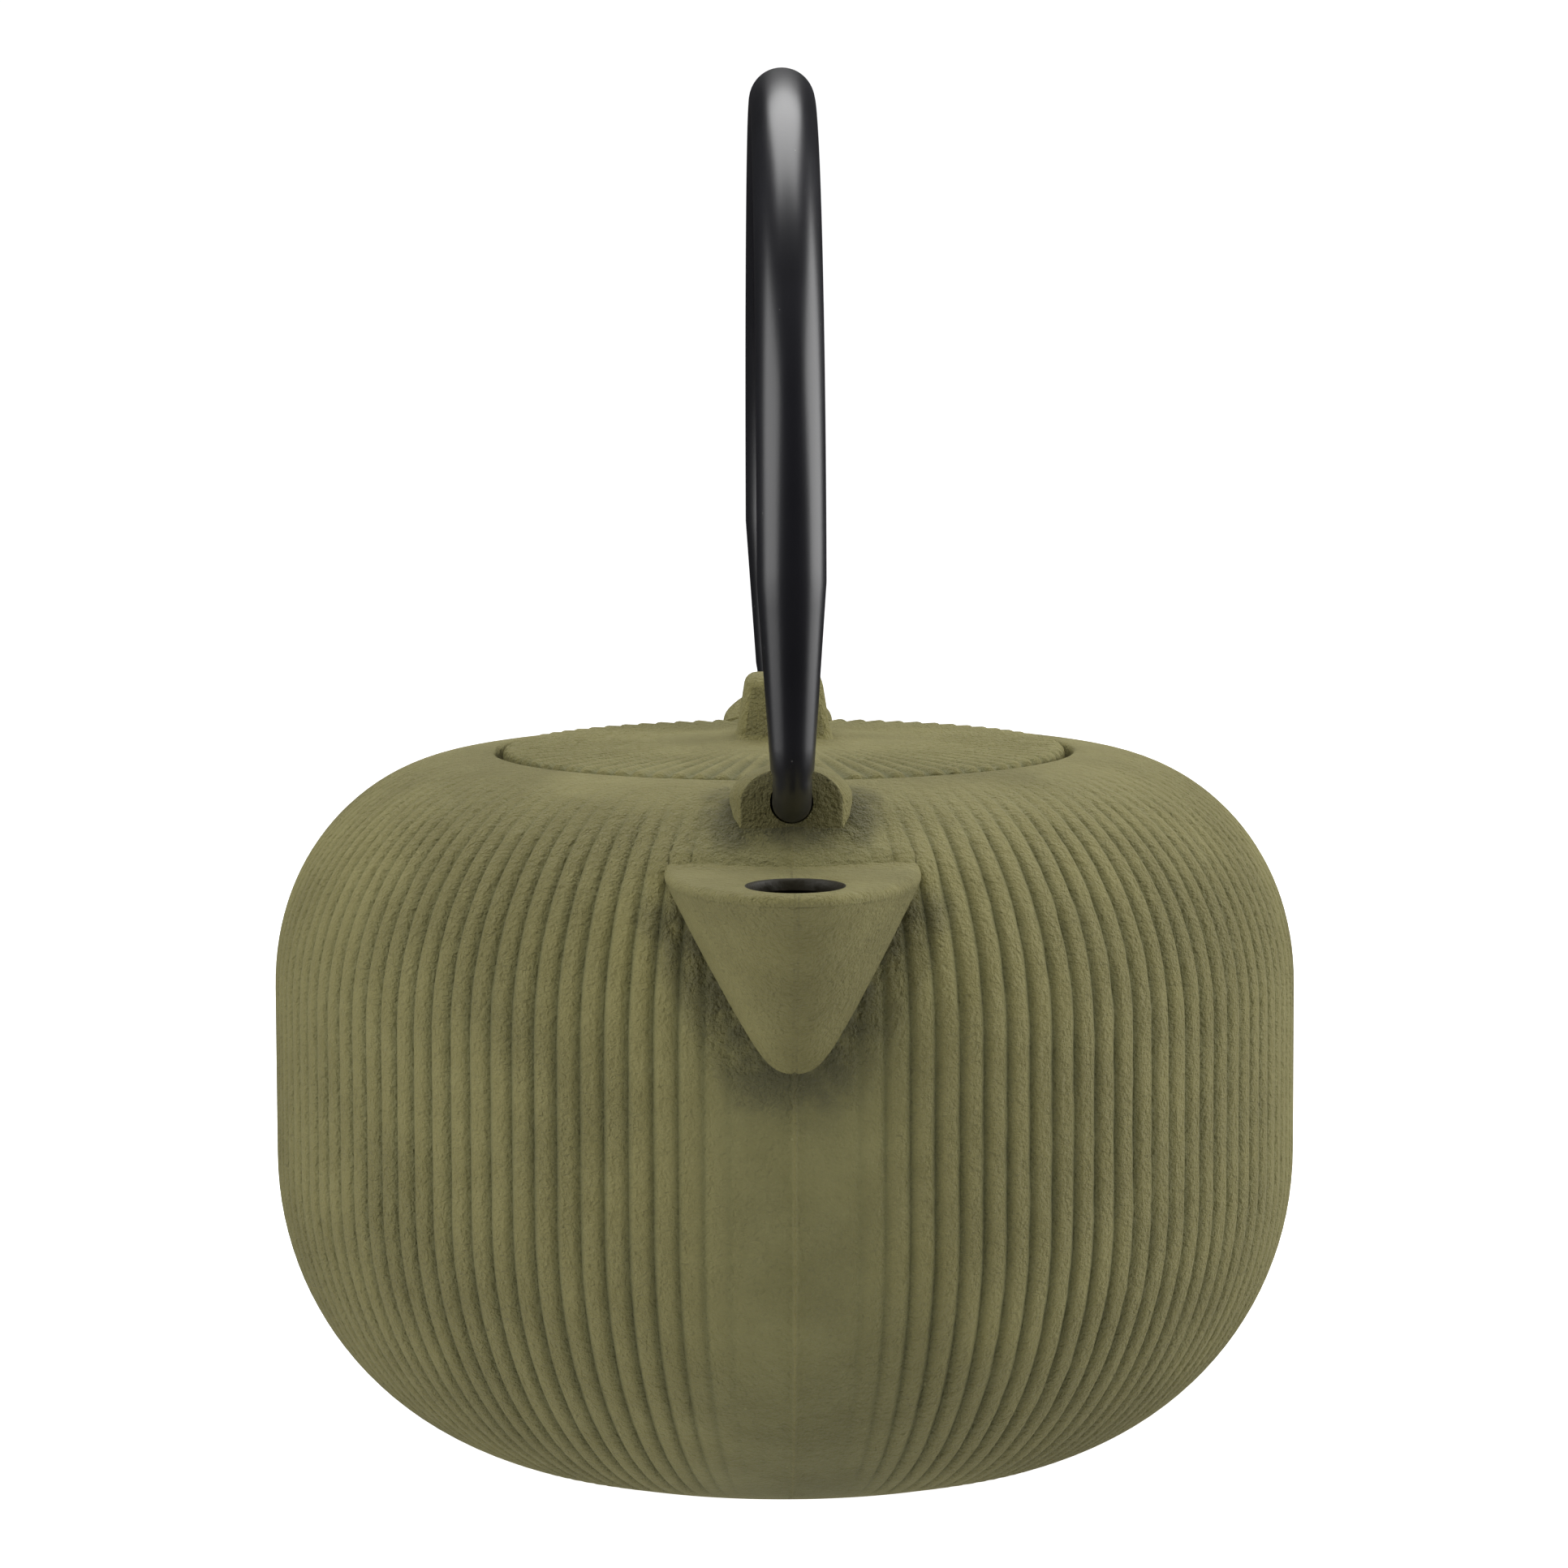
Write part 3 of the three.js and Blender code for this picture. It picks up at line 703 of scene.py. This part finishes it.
# %% Draw the rod
LEG = 65.4
BEND = 5.0
ARCH = 133.15
PIN, NECK, ROD = 2.7, 3.0, 4.75
PIN_END = 54.1
clear_selection()
bpy.ops.mesh.primitive_circle_add(vertices=48, radius=PIN * MM, fill_type="NGON",
                                  location=(0, -PIN_END * MM, PIVOT * MM), rotation=(math.pi / 2, 0, 0))
rod = start("hoop_rod")
bpy.ops.mesh.select_mode(type="FACE")
extrude(y=-(LEG - BEND - PIN_END) * MM)
bpy.ops.mesh.spin(steps=12, angle=math.pi / 2, axis=(1, 0, 0),
                  center=(0, -(LEG - BEND) * MM, (PIVOT + BEND) * MM))
leg_steps = 8
radii = [NECK + (ROD - NECK) * index / leg_steps for index in range(leg_steps + 1)]
rise = (ARCH - PIVOT - BEND) / leg_steps
resize(NECK / PIN, NECK / PIN, 1, (0, -LEG * MM, (PIVOT + BEND) * MM))
for thin, thick in zip(radii, radii[1:]):
    extrude(z=rise * MM)
    resize(thick / thin, thick / thin, 1, (0, -LEG * MM, ARCH * MM))
bpy.ops.mesh.spin(steps=110, angle=math.pi, center=(0, 0, ARCH * MM), axis=(1, 0, 0))
for thin, thick in zip(radii[::-1][1:], radii[::-1]):
    extrude(z=-rise * MM)
    resize(thin / thick, thin / thick, 1, (0, LEG * MM, ARCH * MM))
resize(PIN / NECK, PIN / NECK, 1, (0, LEG * MM, (PIVOT + BEND) * MM))
bpy.ops.mesh.spin(steps=12, angle=math.pi / 2, axis=(1, 0, 0),
                  center=(0, (LEG - BEND) * MM, (PIVOT + BEND) * MM))
extrude(y=-(LEG - BEND - PIN_END) * MM)
select("FACE", lambda face: len(face.verts) > 40)
bpy.ops.mesh.bevel(offset=0.5 * MM, segments=3, affect="EDGES")
close_up(rod)
report(rod)

# %% [markdown]
# ## The strainer
# The tea strainer is pressed steel: a collar with a rolled edge that hangs on the ledge, a wall and
# a floor of perforated sheet, a strip over the joint of the wall and a band that holds the floor.
# One small square with a hole is made and repeated, first up the wall with an Array, then round it
# with Spin, and Solidify gives the sheet its thickness. Punching holes one by one would be slow.

# %% Perforated sheet
FLANGE_TOP = 100.7
COLLAR_OUTER = 35.8
STRAINER_LOW = 53.6
SIEVE_HOLE = 0.58
SHEET = 0.6 * MM


def holed_square(name, across, up, hole, place):
    """A flat tile standing at a place, facing along -Y, with a round hole of eight sides."""
    clear_selection()
    bpy.ops.mesh.primitive_circle_add(vertices=8, radius=hole * MM, location=place,
                                      rotation=(math.pi / 2, 0, 0))
    piece = start(name)
    bpy.ops.mesh.extrude_edges_move(TRANSFORM_OT_translate={"value": (0, 0, 0)})
    shape = bmesh.from_edit_mesh(piece.data)
    for vertex in shape.verts:
        if vertex.select:
            x, z = vertex.co.x - place[0], vertex.co.z - place[2]
            vertex.co.x = place[0] + (0 if abs(x) < 1e-7 else math.copysign(across / 2 * MM, x))
            vertex.co.z = place[2] + (0 if abs(z) < 1e-7 else math.copysign(up / 2 * MM, z))
    bmesh.update_edit_mesh(piece.data)
    bpy.ops.object.mode_set(mode="OBJECT")
    return piece


wall_columns, wall_rows = 108, 20
wall_radius = 34.5
wall_low, wall_high = 54.5, 98.9
tile_wide = 2 * wall_radius * math.tan(math.pi / wall_columns)
tile_high = (wall_high - wall_low) / wall_rows
first_tile = (0, -wall_radius * MM, (wall_low + tile_high / 2) * MM)
sieve = holed_square("sieve_wall", tile_wide, tile_high, SIEVE_HOLE, first_tile)
apply(sieve, "up", "ARRAY", count=wall_rows, use_relative_offset=False, use_constant_offset=True,
      constant_offset_displace=(0, 0, tile_high * MM), use_merge_vertices=True, merge_threshold=1e-6)
bpy.ops.object.mode_set(mode="EDIT")
bpy.ops.mesh.select_all(action="SELECT")
bpy.ops.mesh.spin(steps=wall_columns - 1, dupli=True, angle=2 * math.pi * (wall_columns - 1) / wall_columns,
                  center=(0, 0, 0), axis=(0, 0, 1))
close_up(sieve, 2e-6)
apply(sieve, "sheet", "SOLIDIFY", thickness=SHEET, offset=0)
report(sieve)

# %% Sieve floor
floor_rows = 32
floor_tile = 2.06
floor_radius, floor_height = 33.4, 54.65
grid_edge = -floor_tile * (floor_rows - 1) / 2
sieve_floor = holed_square("sieve_floor", floor_tile, floor_tile, SIEVE_HOLE,
                           (grid_edge * MM, 0, grid_edge * MM))
for offset in ((floor_tile * MM, 0, 0), (0, 0, floor_tile * MM)):
    apply(sieve_floor, "row", "ARRAY", count=floor_rows, use_relative_offset=False, use_constant_offset=True,
          constant_offset_displace=offset, use_merge_vertices=True, merge_threshold=1e-6)
pick(sieve_floor)
sieve_floor.rotation_euler = (math.pi / 2, 0, 0)
sieve_floor.location = (0, 0, floor_height * MM)
bpy.ops.object.transform_apply(location=True, rotation=True, scale=True)
bpy.ops.object.mode_set(mode="EDIT")
select("VERT", lambda point: math.hypot(point.co.x, point.co.y) > floor_radius * MM)
bpy.ops.mesh.delete(type="VERT")
close_up(sieve_floor)
apply(sieve_floor, "sheet", "SOLIDIFY", thickness=SHEET, offset=0)
floor_rim_line = [(31.4, 54.3), (33.7, 54.3), (33.7, 55.0), (31.4, 55.0), (31.4, 54.3)]
floor_rim = turned("sieve_floor_rim", floor_rim_line, 96)
report(sieve_floor)

# %% Collar, band and strip
collar_line = [(35.0, 91.8), (35.4, 91.6), (COLLAR_OUTER, 91.8), (COLLAR_OUTER, 99.0)]
collar_line += arc((36.3, 99.4), 0.5, 180, 90, 3)
collar_line += [(40.2, 99.9)] + arc((40.5, 100.3), 0.5, -60, 90, 6) + [(36.2, FLANGE_TOP)]
collar_line += arc((36.2, 99.5), 1.2, 90, 180, 5) + [(35.0, 91.8)]
collar = turned("strainer_rim", collar_line, 128)
band_line = [(35.0, STRAINER_LOW), (35.5, STRAINER_LOW), (COLLAR_OUTER, 53.9), (COLLAR_OUTER, 57.8),
             (35.5, 58.2), (35.0, 58.2), (35.0, STRAINER_LOW)]
band = turned("strainer_band", band_line, 128)
STRIP_RADIUS = 35.2
clear_selection()
bpy.ops.mesh.primitive_cube_add(size=1, location=(0, STRIP_RADIUS * MM, 74.95 * MM),
                                scale=(5 * MM, SHEET, 32.7 * MM))
strip = start("strainer_strip")
for cut in (-1.6, -0.8, 0.0, 0.8, 1.6):
    bpy.ops.mesh.select_all(action="SELECT")
    bpy.ops.mesh.bisect(plane_co=(cut * MM, 0, 0), plane_no=(1, 0, 0))
shape = bmesh.from_edit_mesh(strip.data)
for vertex in shape.verts:
    vertex.co.y -= STRIP_RADIUS * MM - math.sqrt((STRIP_RADIUS * MM) ** 2 - vertex.co.x ** 2)
bmesh.update_edit_mesh(strip.data)
select("EDGE", lambda edge: all(end.co.y > 35.3 * MM or abs(end.co.x) > 2.4 * MM for end in edge.verts)
       and abs(edge.verts[0].co.x) > 2.4 * MM and abs(edge.verts[1].co.x) > 2.4 * MM)
bpy.ops.mesh.bevel(offset=0.12 * MM, segments=2, affect="EDGES")
close_up(strip)
for piece in (floor_rim, collar, band, strip):
    report(piece)


# %% [markdown]
# ## Finishes
# Each finish is a small net of nodes on the piece's own object coordinates, so a pattern keeps its
# real size on every piece. A helper adds a node, sets its sockets and joins it to others.

# %% Node helpers
def finish(name):
    """A new material with its node net, its shader and a function that adds nodes."""
    material = bpy.data.materials.new(name)
    material.use_nodes = True
    tree = material.node_tree
    shader = tree.nodes["Principled BSDF"]

    def add(kind, settings=None, **sockets):
        node = tree.nodes.new(kind)
        for key, value in (settings or {}).items():
            setattr(node, key, value)
        for key, value in sockets.items():
            socket = node.inputs[int(key[1:])] if key[1:].isdigit() else node.inputs[key.replace("_", " ")]
            if hasattr(value, "is_linked"):
                tree.links.new(value, socket)
            else:
                socket.default_value = value
        return node

    return material, tree, shader, add


def ramp(add, factor, *stops):
    """A colour ramp over a factor. A stop is its place and a grey or a colour."""
    node = add("ShaderNodeValToRGB", Fac=factor)
    items = node.color_ramp.elements
    while len(items) < len(stops):
        items.new(0.5)
    for item, (place, colour) in zip(items, stops):
        item.position = place
        item.color = (colour, colour, colour, 1) if isinstance(colour, (int, float)) else (*colour, 1)
    return node.outputs["Color"]


def combine(add, kind, first, second):
    return add("ShaderNodeMath", {"operation": kind}, s0=first, s1=second).outputs[0]


def mix(add, share, first, second, blend="MIX"):
    """Goes from the first colour to the second by a share, or multiplies the second in."""
    node = add("ShaderNodeMix", {"data_type": "RGBA", "blend_type": blend}, s0=share, s6=first, s7=second)
    return node.outputs[2]


# %% [markdown]
# ### Matte olive coating on sand-cast iron
# The coating is thin and dull, so it follows the grain of the sand: bumps of about half a
# millimetre, a few pits, and rougher patches beside the spout and down one side. Its colour drifts
# a little, a few pale specks of dust lie on it, and painted shade darkens it in the valleys of the
# ribs and in the rough corners beside the ears and under the spout; down the right side it is a
# little darker.

# %% Olive coating
def olive_coating(name, grain=1.0, painted_shade_tint=1.0, seam=0.0):
    material, tree, shader, add = finish(name)
    at = add("ShaderNodeTexCoord").outputs["Object"]
    patches = add("ShaderNodeTexNoise", Vector=at, Scale=38.0, Detail=2.0).outputs["Fac"]
    drift = add("ShaderNodeTexNoise", Vector=at, Scale=160.0, Detail=4.0, Roughness=0.6).outputs["Fac"]
    sand = add("ShaderNodeTexNoise", Vector=at, Scale=2100.0, Detail=3.0, Roughness=0.62).outputs["Fac"]
    lumps = add("ShaderNodeTexNoise", Vector=at, Scale=850.0, Detail=2.0, Roughness=0.5).outputs["Fac"]
    pits = add("ShaderNodeTexVoronoi", {"feature": "F1"}, Vector=at, Scale=520.0).outputs["Distance"]
    specks = add("ShaderNodeTexVoronoi", {"feature": "F1"}, Vector=at, Scale=210.0).outputs["Distance"]
    valley = add("ShaderNodeAttribute", {"attribute_name": "valley_shade"}).outputs["Fac"]
    crumbled = add("ShaderNodeAttribute", {"attribute_name": "crumbled"}).outputs["Fac"]
    broken_and_painted_shade = combine(add, "MULTIPLY", crumbled, ramp(add, drift, (0.38, 0.25), (0.56, 1.0)))

    # A tint below 1 darkens the whole colour: painted shade on the knob's faces and the ears' outer faces.
    green = ramp(add, drift, (0.3, (0.256 * painted_shade_tint, 0.231 * painted_shade_tint, 0.084 * painted_shade_tint)),
                 (0.7, (0.295 * painted_shade_tint, 0.268 * painted_shade_tint, 0.104 * painted_shade_tint)))
    # Painted shade: the colour is multiplied darker in the valleys of the ribs.
    painted_valley_shade = mix(add, valley, green, (0.74, 0.80, 0.90, 1), "MULTIPLY")
    # Painted shade: the colour is multiplied darker where the sand crumbled, in the corners by the ears and
    # under the spout.
    dark = mix(add, broken_and_painted_shade, painted_valley_shade, (0.58, 0.59, 0.58, 1), "MULTIPLY")
    dust = combine(add, "MULTIPLY", ramp(add, specks, (0.0, 1.0), (0.035, 1.0), (0.05, 0.0)), 0.5)
    pale = (0.38, 0.35, 0.16, 1)
    colour = mix(add, dust, dark, pale)
    tree.links.new(colour, shader.inputs["Base Color"])
    dull = add("ShaderNodeMapRange", Value=patches, To_Min=0.6, To_Max=0.78).outputs[0]
    tree.links.new(dull, shader.inputs["Roughness"])
    shader.inputs["Specular IOR Level"].default_value = 0.45
    shader.inputs["Sheen Weight"].default_value = 0.04
    shader.inputs["Sheen Roughness"].default_value = 0.4

    even = ramp(add, patches, (0.40, 0.5), (0.62, 1.0))
    rough = combine(add, "ADD", even, combine(add, "MULTIPLY", broken_and_painted_shade, 2.2))
    bumps = combine(add, "MULTIPLY", combine(add, "ADD", lumps, sand), rough)
    hollow = combine(add, "MULTIPLY", ramp(add, pits, (0.0, 0.0), (0.22, 1.0)), 0.16)
    relief = combine(add, "ADD", bumps, hollow)
    across = combine(add, "ABSOLUTE", add("ShaderNodeSeparateXYZ", Vector=at).outputs["X"], 0.0)
    ridge = add("ShaderNodeMapRange", Value=across, From_Min=0.12 * MM, From_Max=0.42 * MM,
                To_Min=seam, To_Max=0.0).outputs[0]
    ridge = combine(add, "MULTIPLY", ridge, ramp(add, drift, (0.35, 0.5), (0.55, 1.0)))
    relief = combine(add, "ADD", relief, ridge)
    bump = add("ShaderNodeBump", Height=relief, Distance=1.2 * MM * grain, Strength=1.0)
    tree.links.new(bump.outputs["Normal"], shader.inputs["Normal"])
    return material


olive = olive_coating("olive_coating", seam=0.35)
olive_lid = olive_coating("olive_coating_lid", grain=0.8)
# Painted shade: this copy is darker for the knob's front and back faces, with a coarser grain.
olive_knob_painted_shade = olive_coating("olive_coating_knob_painted_shade", grain=1.4, painted_shade_tint=0.9)
# Painted shade: this copy is darker for the ears' outer faces, which are also rougher.
olive_rough_painted_shade = olive_coating("olive_coating_rough_painted_shade", grain=1.8, painted_shade_tint=0.78)
print("finishes:", olive.name, olive_lid.name, olive_rough_painted_shade.name)


# %% [markdown]
# ### Dark finishes
# The rod has a satin black coating, a touch blue, with a very fine tooth and specks of dust. The
# enamel inside the pot is glossier, with an orange-peel surface. The channel of the spout is a
# coarse, dull brown, because the coating never reached that far in.

# %% Satin black, enamel and the brown of the channel
def dark_coating(name, colour, roughness, tooth, scale):
    material, tree, shader, add = finish(name)
    at = add("ShaderNodeTexCoord").outputs["Object"]
    grain = add("ShaderNodeTexNoise", Vector=at, Scale=scale, Detail=3.0, Roughness=0.6).outputs["Fac"]
    cloud = add("ShaderNodeTexNoise", Vector=at, Scale=60.0, Detail=2.0).outputs["Fac"]
    specks = add("ShaderNodeTexVoronoi", {"feature": "F1"}, Vector=at, Scale=330.0).outputs["Distance"]
    dust = combine(add, "MULTIPLY", ramp(add, specks, (0.0, 1.0), (0.03, 1.0), (0.045, 0.0)), 0.3)
    darker = tuple(0.85 * part for part in colour)
    lighter = tuple(1.15 * part for part in colour)
    tone = ramp(add, cloud, (0.3, darker), (0.7, lighter))
    mixed = mix(add, dust, tone, (0.3, 0.29, 0.29, 1))
    tree.links.new(mixed, shader.inputs["Base Color"])
    dull = add("ShaderNodeMapRange", Value=cloud, To_Min=roughness - 0.04, To_Max=roughness + 0.05).outputs[0]
    tree.links.new(dull, shader.inputs["Roughness"])
    bump = add("ShaderNodeBump", Height=grain, Distance=tooth * MM, Strength=0.6)
    tree.links.new(bump.outputs["Normal"], shader.inputs["Normal"])
    return material


satin_black = dark_coating("satin_black", (0.008, 0.008, 0.011), 0.32, 0.012, 2600.0)
satin_black.node_tree.nodes["Principled BSDF"].inputs["Specular IOR Level"].default_value = 1.0
enamel = dark_coating("black_enamel", (0.010, 0.010, 0.010), 0.28, 0.06, 500.0)
bore = dark_coating("bore_brown", (0.030, 0.026, 0.015), 0.55, 0.3, 900.0)
print("finishes:", satin_black.name, enamel.name, bore.name)


# %% [markdown]
# ### Stainless steel
# Pressed steel shows fine lines from the rollers and a soft uneven gloss.

# %% Brushed steel
def brushed_steel(name, stretch):
    material, tree, shader, add = finish(name)
    at = add("ShaderNodeTexCoord").outputs["Object"]
    drawn = add("ShaderNodeMapping", Vector=at, Scale=stretch).outputs["Vector"]
    lines = add("ShaderNodeTexNoise", Vector=drawn, Scale=1.0, Detail=4.0, Roughness=0.6).outputs["Fac"]
    cloud = add("ShaderNodeTexNoise", Vector=at, Scale=90.0, Detail=2.0).outputs["Fac"]
    tone = ramp(add, cloud, (0.3, (0.52, 0.53, 0.54)), (0.7, (0.62, 0.62, 0.61)))
    tree.links.new(tone, shader.inputs["Base Color"])
    dull = add("ShaderNodeMapRange", Value=lines, To_Min=0.22, To_Max=0.38).outputs[0]
    tree.links.new(dull, shader.inputs["Roughness"])
    shader.inputs["Metallic"].default_value = 1.0
    bump = add("ShaderNodeBump", Height=lines, Distance=0.01 * MM, Strength=0.5)
    tree.links.new(bump.outputs["Normal"], shader.inputs["Normal"])
    return material


steel = brushed_steel("brushed_steel", (300.0, 300.0, 6000.0))
print("finish:", steel.name)

# %% [markdown]
# ## Putting it together
# Each piece rides the body that moves it, stands for its CAD node, and takes its finish.

# %% Dress, ride and replace
pieces = [  # piece, finish, shading angle, body, CAD nodes, slot
    (shell, olive, 60, "pot", ["pot_body"], "olive_cast_iron"),
    (lining, enamel, 40, "pot", ["pot_body"], "olive_cast_iron"),
    (spout, olive, 50, "pot", ["pot_body"], "olive_cast_iron"),
    (ear, olive, 50, "pot", ["pot_body"], "olive_cast_iron"),
    (rear_ear, olive, 50, "pot", ["pot_body"], "olive_cast_iron"),
    (lid, olive_lid, 60, "lid", ["lid"], "olive_cast_iron"),
    (knob, olive_lid, 50, "lid", ["lid"], "olive_cast_iron"),
    (rod, satin_black, 50, "handle", ["bail_handle"], "black_steel"),
    (collar, steel, 40, "strainer", ["strainer_collar"], "strainer_steel"),
    (sieve, steel, 40, "strainer", ["strainer_wall"], "strainer_steel"),
    (sieve_floor, steel, 40, "strainer", ["strainer_floor"], "strainer_steel"),
    (floor_rim, steel, 40, "strainer", ["strainer_floor"], "strainer_steel"),
    (band, steel, 40, "strainer", ["strainer_floor_band"], "strainer_steel"),
    (strip, steel, 40, "strainer", ["strainer_side_seam"], "strainer_steel"),
]
for piece, material, degrees, body, nodes, slot in pieces:
    piece.data.materials.clear()
    piece.data.materials.append(material)
    shade(piece, degrees)
    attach(piece, body)
    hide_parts(*nodes)


# %% A second finish on some faces
def coat_faces(piece, material, wanted):
    """Gives some of a piece's faces a second finish, picked by a test on each face."""
    piece.data.materials.append(material)
    slot_number = len(piece.data.materials) - 1
    for face in piece.data.polygons:
        if wanted(face):
            face.material_index = slot_number


for piece in (shell, spout):
    lined = channel_faces[piece.name]
    coat_faces(piece, bore, lambda face: any((face.center - spot).length < 0.3 * MM for spot in lined))
# Painted shade: the ears' outer faces take the darker, rougher copy of the olive coating.
for piece in (ear, rear_ear):
    coat_faces(piece, olive_rough_painted_shade, lambda face: abs(face.normal.y) > 0.6 and abs(face.center.y) > 59.5 * MM)
# Painted shade: the knob's front and back faces take the darker copy of the olive coating.
coat_faces(knob, olive_knob_painted_shade, lambda face: abs(face.normal.y) > 0.95)
print(len(pieces), "pieces,", sum(len(item[0].data.polygons) for item in pieces), "faces")

# %% [markdown]
# ## The table
# The camera sees a plain white sheet with a glow of its own, which neither lights nor shades the
# pot. A second, dimmer sheet that the camera doesn't see throws the soft light that falls on the
# belly from under, as a table between dark flags would.

# %% Table
def sheet(name, across, drop, colour, glow):
    clear_selection()
    bpy.ops.mesh.primitive_plane_add(size=across, location=(0, 0, -drop))
    made = bpy.context.object
    made.name = name
    material, _, shader, _ = finish(name)
    shader.inputs["Base Color"].default_value = (colour, colour, colour, 1)
    shader.inputs["Roughness"].default_value = 0.9
    shader.inputs["Emission Color"].default_value = (1, 1, 1, 1)
    shader.inputs["Emission Strength"].default_value = glow
    made.data.materials.append(material)
    return made


table_top = sheet("table", 12.0, 0.0, 0.8, 1.0)
table_top.visible_diffuse = False
table_top.visible_glossy = False
table_top.visible_shadow = False
under_light = sheet("table_glow", 1.8, 0.001, 0.0, 0.78)
under_light.visible_camera = False
under_light.visible_glossy = False
print("table and its glow are in place")
